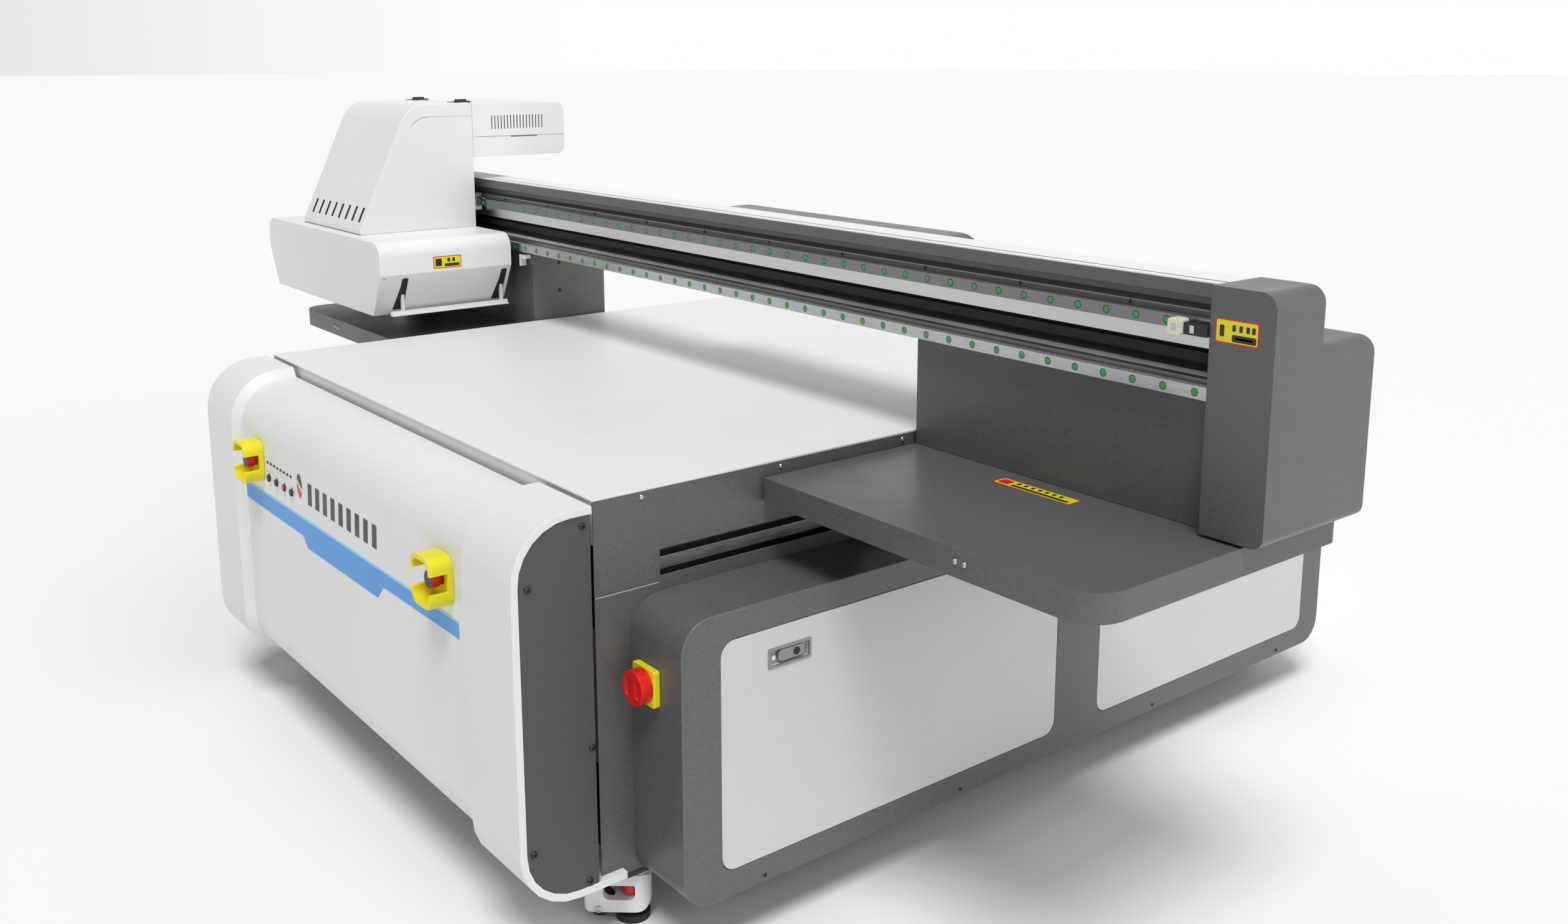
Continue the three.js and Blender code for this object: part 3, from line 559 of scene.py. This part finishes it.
def cabinets():
    def outer_edge(p):
        return abs(p.x) > 903.5 and (p.y < -880 or p.y > 880 or p.z < 130 or p.z > 590)

    dress("cabinet_right", grey, 0.8, 2, wide=(3.0, 4, outer_edge))
    dress("cabinet_left", grey, 0.8, 2, wide=(3.0, 4, outer_edge))
    for end in ("front", "rear"):
        dress("door_" + end, pale_grey, 0.8, 2)
        dress("latch_paddle_" + end, latch_nickel, 1.2, 3)
    # Fixed panels on the closed left side, with the doors' outline.
    for end, y0, y1 in (("front", -871.5, -26.5), ("rear", 109.5, 871.5)):
        def panel(bm, y0=y0, y1=y1):
            add_prism(bm, rectangle(y0, y1, 153.5, 571.5, 28.5, 7), "x", -905.2, -903.8)

        make(f"left_panel_{end}", "base", "door_paint", pale_grey, panel, 0.5)

    # Flush latch bezels and key barrels.
    for end, y0 in (("front", -873), ("rear", 108)):
        centre = y0 + 147.5

        def bezel(bm, centre=centre):
            outer = rectangle(centre - 47.5, centre + 47.5, 497.5, 534.5, 3)
            inner = rectangle(centre - 42.5, centre + 42.5, 502.5, 529.5, 3)
            rings = []
            for outline, x in ((outer, 904.3), (outer, 906.2), (inner, 906.2), (inner, 903.0)):
                rings.append(add_ring(bm, [mm(x, a, b) for a, b in outline]))
            add_band(bm, rings, closed=True)

        make(f"latch_bezel_{end}", "door_" + end, "latch_metal", latch_nickel, bezel, 0.5)

        def barrel(bm, centre=centre):
            y = centre + 16.4
            add_lathe(bm, "x", (903.3, y, KEY_HEIGHT), [(7.5, 0), (7.5, 0.5), (6.9, 0.8)], 24)
            # The small inner disc is near-black: painted shade in the keyway.
            add_lathe(bm, "x", (904.0, y, KEY_HEIGHT), [(4.6, 0), (4.6, 0.2), (4.0, 0.3)], 18, 1)

        make(f"latch_key_{end}", "latch_paddle_" + end, "black_plastic", [black, shade_black], barrel)

        def pin(bm, centre=centre):
            profile = [(3.0, 0), (4.6, 1.2), (5.2, 3.4), (4.4, 5.6), (2.2, 6.6)]
            add_lathe(bm, "x", (894.0, centre - 31, 514), profile, 18)

        make(f"latch_pin_{end}", "door_" + end, "white_paint", bright_white, pin)

    dress("isolator_plate", yellow, 1.6, 3)
    dress("isolator_knob", red, 2.0, 3)
    for side, sign in SIDES:
        places = [(903.9 * sign, y, 117) for y in (-780, -297, 302, 780)]
        screws(f"cabinet_screws_{side}", "base", "black_plastic", black, "x", sign, 4.0, places)


def casters():
    for end, y in (("front", -CASTER_Y), ("rear", CASTER_Y)):
        for side, x in (("right", CASTER_X), ("left", -CASTER_X)):
            body = f"caster_{end}_{side}"

            def pick(centre, normal, x=x, y=y):
                across = math.hypot(centre.x - x, centre.y - y)
                if centre.z < 14:
                    return 1
                if across < 10.5 and centre.z < 93:
                    return 2
                if across < 21 and 49 < centre.z < 67:
                    return 3
                return 0

            dress(f"caster_body_{end}_{side}", [white, rubber, zinc, red], 1.5, 3, pick=pick)
            dress(f"caster_wheel_{end}_{side}", rubber, 2.5, 3)

            def hub(bm, x=x, y=y):
                # Each caster stands turned 50 degrees about its swivel.
                along, across = Vector((-0.6428, -0.766)), Vector((-0.766, 0.6428))
                for way in (-1, 1):
                    rings = []
                    for radius, out in ((6.5, 29.8), (6.5, 32.2), (5.0, 33.4), (3.0, 33.4), (2.6, 32.2)):
                        ring = []
                        for a, b in circle(0, 0, radius, 18):
                            p = Vector((x, y)) + along * (58 + a) + across * (way * out)
                            ring.append(mm(p.x, p.y, 28 + b))
                        rings.append(add_ring(bm, ring))
                    bm.faces.new(rings[0])
                    bm.faces.new(list(reversed(rings[-1])))
                    add_band(bm, rings)

            make(f"caster_axle_caps_{end}_{side}", body, "latch_metal", zinc, hub)


# ---- gantry --------------------------------------------------------------------------------------


def beam():
    def pick(centre, normal):
        # The recess under the upper lip is near-black: painted shade.
        if centre.z > 1170 and -288 < centre.y < -280:
            return 2
        # The top face gets the paler aluminium: a painted highlight.
        if normal.z > 0.9 and centre.z > 1183:
            return 3
        if abs(normal.x) > 0.9:
            return 0
        if centre.y > -215:
            return 1
        # The deep groove is near-black: painted shade.
        if 1042 < centre.z < 1077.5 and centre.y > -297.5:
            return 2
        if centre.z > 1128 and centre.y < -270:
            return 1
        # The lower steps get the darker aluminium: painted shade.
        if centre.z < 1034.5:
            return 4
        return 0

    dress("gantry_beam", [aluminium, grey, shade_black, highlight_aluminium, painted_shade_aluminium], 0.7, 2, pick=pick)

    def ledge(bm):
        # The dark ledge that the upper rail is bolted against, with a bright line under its edge: the line
        # is a painted highlight.
        add_box(bm, -1433.5, 1433.5, -298.4, -297.8, 1129.9, 1137.2, 0)
        add_box(bm, -1433.5, 1433.5, -306.25, -305.8, 1182.2, 1183.6, 1)

    make("beam_ledge_trim", "gantry", "grey_paint", [grey, highlight_aluminium], ledge)
    dress("x_belt", rubber, 0.5)
    for name, z, first in (("upper", 1118, 1408.6), ("lower", 1011, 1407.6)):
        # The upper rail gets the darker steel, a painted dark reflection.
        dress("x_rail_" + name, dark_reflection_steel if name == "upper" else ground_steel, 0.5)
        xs = [first - RAIL_PITCH * k for k in range(48) if first - RAIL_PITCH * k > RAIL_END]

        # A near-black ring round each plug: painted shade in the bore.
        def bore_shades(bm, z=z, xs=xs):
            for x in xs:
                rings = []
                for radius, height in ((5.6, 0.05), (6.9, 0.05), (6.9, 0.25), (5.6, 0.25)):
                    ring = [mm(x + a, -319.75 - height, z + b) for a, b in circle(0, 0, radius, 18)]
                    rings.append(add_ring(bm, ring))
                add_band(bm, rings, closed=True)

        def plugs(bm, z=z, xs=xs):
            for x in xs:
                add_lathe(bm, "y", (x, -319.7, z), [(5.5, -0.3), (5.5, 0.25), (4.9, 0.5)], 18, 0, -1)

        make(f"rail_bore_shades_{name}", "gantry", "black_plastic", shade_black, bore_shades)
        make(f"rail_plugs_{name}", "gantry", "rail_steel", green, plugs)

    places = [(x, -298.0, 1134) for x in range(-1380, 1400, 240)]
    screws("beam_face_screws", "gantry", "black_plastic", black, "y", -1, 3.6, places)
    dress("beam_rear_box", grey, 1.5, 3)

    def sensor(bm):
        add_prism(bm, rectangle(1368, 1392, 1101, 1127, 4), "y", -344, -321, 0)
        add_prism(bm, rectangle(1375, 1385, 1108, 1120, 2), "y", -344.5, -343, 1)
        add_box(bm, 1392, 1435, -336, -321, 1103, 1122, 2)
        add_box(bm, 1404, 1412, -337, -335, 1106, 1119, 3)

    make("limit_sensor", "gantry", "black_plastic", [ivory, pale_grey, black, zinc], sensor, 0.8)


def label(name, body, origin, across, up, width, height, marks):
    """A printed plate: red border, yellow field and plain black marks in place of any print."""
    u, v = Vector(across), Vector(up)
    out = u.cross(v)
    start = Vector(origin)

    def build(bm):
        def plate(u0, u1, v0, v1, low, high, index):
            radius = min(3.0, (u1 - u0) / 4, (v1 - v0) / 4)
            outline = rectangle(u0, u1, v0, v1, radius, 3)
            bottom = [mm(*(start + u * a + v * b + out * low)) for a, b in outline]
            top = [mm(*(start + u * a + v * b + out * high)) for a, b in outline]
            add_solid(bm, bottom, top, index)

        plate(0, width, 0, height, -0.2, 0.3, 0)
        plate(2.2, width - 2.2, 2.2, height - 2.2, 0.2, 0.45, 1)
        for u0, u1, v0, v1, index in marks:
            plate(u0, u1, v0, v1, 0.4, 0.6, index)

    return make(name, body, "yellow_plastic", [red, yellow, black, print_white], build)


def gantry_sides():
    for side, sign in SIDES:
        dress("wing_" + side, grey, 2.5, 3)
        dress("upright_" + side, grey, 1.2, 2)
        dress("hanger_" + side, aluminium, 1.0, 2)
        dress("end_cover_" + side, grey, 1.5, 3)
        # Screws on the upright's inner face.
        places = [(760 * sign, -214, z) for z in (963, 886)]
        screws(f"upright_screws_{side}", "gantry", "black_plastic", black, "x", -sign, 5.0, places)

    label(
        "cover_label", "gantry", (1446, -330, 1099), (1, 0, 0), (0, 0, 1), 76, 38,
        [(8, 16, 10, 28, 2), (30, 36, 20, 30, 2), (42, 48, 20, 30, 2), (54, 60, 20, 30, 2),
         (64, 70, 20, 30, 2), (30, 72, 4, 15, 2), (36, 66, 8, 11, 3)],
    )
    label(
        "wing_label", "gantry", (1028, -365, 785), (1, 0, 0), (0, 1, 0), 175, 34,
        [(6, 30, 6, 28, 0)] + [(u, u + 8, 18, 28, 2) for u in range(40, 137, 16)] + [(38, 166, 5, 13, 2)],
    )

    for side, sign in SIDES:
        places = [(x * sign, -668.2, 764) for x in (1238, 1258)]
        screws(f"wing_screws_{side}", "gantry", "latch_metal", zinc, "y", -1, 5.0, places)

    def bracket(bm):
        add_box(bm, -790, -762.0, -320, -300, 982, 992)
        add_box(bm, -790, -787.5, -320, -300, 960, 983)

    make("edge_bracket", "gantry", "white_paint", bright_white, bracket, 0.4)


# ---- carriage ------------------------------------------------------------------------------------


def carriage():
    dress("lower_housing", bright_white, 2.5, 3)
    dress("carriage_hood", bright_white, 2.5, 3)
    dress("carriage_rear_box", bright_white, 1.5, 3)
    dress("carriage_plate", aluminium, 1.0)
    dress("head_unit", [aluminium, black], 1.0, pick=lambda c, n: 1 if c.z < 870 else 0)
    for side, sign in SIDES:
        dress("crash_bar_" + side, bright_white, 0.6)
        dress("hood_latch_" + side, black, 1.0)

    # Seams and a slot on the rear box's sides.
    for side, sign in SIDES:
        def seams(bm, sign=sign):
            x = CARRIAGE + HOOD_SIDE * sign
            add_box(bm, *sorted((x - 0.1 * sign, x + 0.25 * sign)), -335, -44, 1301.4, 1302.2)
            add_box(bm, *sorted((x - 0.1 * sign, x + 0.3 * sign)), -217, -133, 1299, 1301)

        make(f"rear_box_seam_{side}", "carriage", "black_plastic", black, seams)

        def groove(bm, sign=sign):
            # A pale grey line on the hood's side under its top edge: painted shade in the line pressed
            # into it.
            x, width = CARRIAGE + HOOD_SIDE * sign, 1.6
            turns = [math.radians(a) for a in range(10, 60, 8)]
            path = [(-338, 1362), (-470, 1362)]
            path += [(-470 - 60 * math.sin(t), 1302 + 60 * math.cos(t)) for t in turns]
            for (ya, za), (yb, zb) in zip(path, path[1:]):
                outline = ((ya, za), (yb, zb), (yb, zb - width), (ya, za - width))
                low = [mm(x - 0.1 * sign, a, b) for a, b in outline]
                add_solid(bm, low, [mm(x + 0.25 * sign, a, b) for a, b in outline])

        make(f"hood_groove_shade_{side}", "carriage", "white_paint", pale_grey, groove)

    def vent_shade_sheets(bm):
        # Near-black sheets behind the vents of the hood and of the rear box: painted shade inside them.
        x0, x1 = CARRIAGE - 185, CARRIAGE + 185
        outline = [(-671.5, 1070), (-643.0, 1132), (-641.8, 1131.5), (-670.3, 1069.5)]
        add_prism(bm, outline, "x", x0, x1)
        for sign in (1, -1):
            x = CARRIAGE + 202 * sign
            add_box(bm, *sorted((x, x - 1.0 * sign)), -283, -108, 1316, 1366)

    make("vent_shade_sheets", "carriage", "black_plastic", shade_black, vent_shade_sheets)

    def hood_seal(bm):
        add_box(bm, CARRIAGE - 205, CARRIAGE + 205, -678.5, -675, 1049.9, 1051.6)

    make("hood_seal", "carriage", "black_plastic", black, hood_seal)

    for side, sign in SIDES:
        def slot_shades(bm, sign=sign):
            # Near-black wedge-shaped sheets where the arms of the crash bar swing: painted shade in their
            # slots.
            for arm in (-642, -355):
                corners = [(arm - 5, 954), (arm + 4, 954), (arm + 5, 866), (arm - 22, 866)]
                outlines = []
                for lift in (-0.6, 0.5):
                    # The housing's side leans outwards from its lower edge.
                    places = [(351 + (z - 853) * 58 / 111 + lift, y, z) for y, z in corners]
                    outlines.append([mm(CARRIAGE + x * sign, y, z) for x, y, z in places])
                add_solid(bm, *outlines)

        make(f"crash_bar_slot_shades_{side}", "carriage", "black_plastic", shade_black, slot_shades)

        def latch_base(bm, sign=sign):
            x = CARRIAGE + 140 * sign
            add_box(bm, x - 13, x + 13, -372, -363.5, 1396.2, 1399.4)
            add_box(bm, x - 9, x + 9, -312, -306, 1394.0, 1401.0)

        make(f"hood_latch_base_{side}", "carriage", "latch_metal", zinc, latch_base, 0.4)

        # A small screw at the corner of the housing's side.
        places = [(CARRIAGE + 405 * sign, -701, 958)]
        screws(f"housing_screw_{side}", "carriage", "latch_metal", zinc, "x", sign, 4.0, places)

    label(
        "carriage_label", "carriage", (CARRIAGE + 409.2, -565, 972), (0, 1, 0), (0, 0, 1), 80, 32,
        [(6, 24, 6, 26, 2), (40, 48, 16, 26, 2), (54, 62, 16, 26, 2), (32, 74, 4, 12, 2)],
    )


# ---- stage, light and camera ---------------------------------------------------------------------


def stage():
    mesh = bpy.data.meshes.new("floor")
    size = 120.0
    corners = [(x * size, y * size, 0) for x, y in ((-1, -1), (1, -1), (1, 1), (-1, 1))]
    mesh.from_pydata(corners, [], [(0, 1, 2, 3)])
    floor = bpy.data.objects.new("floor", mesh)
    bpy.context.scene.collection.objects.link(floor)
    n = Nodes("pale_floor")
    n.shader.inputs["Roughness"].default_value = 0.8
    n.shader.inputs["Base Color"].default_value = (0.85, 0.85, 0.85, 1)
    mesh.materials.append(n.material)

    # The studio is lightest behind the object, towards the horizon, and dimmer behind the camera.
    world = bpy.data.worlds.new("studio")
    world.use_nodes = True
    tree = world.node_tree
    direction = tree.nodes.new("ShaderNodeSeparateXYZ")
    tree.links.new(tree.nodes.new("ShaderNodeTexCoord").outputs["Generated"], direction.inputs[0])
    parts = []
    for axis, values in (("Y", (-0.6, 0.5, 0.38, 1.0)), ("Z", (0.12, 0.6, 1.0, 0.6))):
        change = tree.nodes.new("ShaderNodeMapRange")
        for key, number in zip(("From Min", "From Max", "To Min", "To Max"), values):
            change.inputs[key].default_value = number
        tree.links.new(direction.outputs[axis], change.inputs["Value"])
        parts.append(change.outputs["Result"])
    product = tree.nodes.new("ShaderNodeMath")
    product.operation = "MULTIPLY"
    tree.links.new(parts[0], product.inputs[0])
    tree.links.new(parts[1], product.inputs[1])
    tree.nodes["Background"].inputs["Color"].default_value = (1, 1, 1, 1)
    tree.links.new(product.outputs["Value"], tree.nodes["Background"].inputs["Strength"])
    bpy.context.scene.world = world
    bpy.context.scene.view_settings.view_transform = "Standard"

    def sun(name, toward, strength, spread):
        light = bpy.data.lights.new(name, "SUN")
        light.energy = strength
        light.angle = math.radians(spread)
        lamp = bpy.data.objects.new(name, light)
        lamp.location = Vector(toward) * 4
        lamp.rotation_euler = Vector(toward).to_track_quat("Z", "Y").to_euler()
        bpy.context.scene.collection.objects.link(lamp)

    sun("key_light", (0.35, -0.3, 1.0), 2.1, 22)
    sun("side_light", (1.0, 0.1, 0.5), 0.45, 40)

    camera = bpy.data.cameras.new("photo_view")
    camera.lens = 32.95
    camera.sensor_width = 36.0
    camera.shift_y = -0.0822
    camera.clip_start, camera.clip_end = 0.05, 200
    view = bpy.data.objects.new("photo_view", camera)
    view.location = mm(2718.0, -2177.3, 1526.6)
    view.rotation_euler = (math.pi / 2 - 0.191, 0, 0.900)
    bpy.context.scene.collection.objects.link(view)
    bpy.context.scene.camera = view


table_and_frame()
shells()
front_marks()
cabinets()
casters()
beam()
gantry_sides()
carriage()
stage()
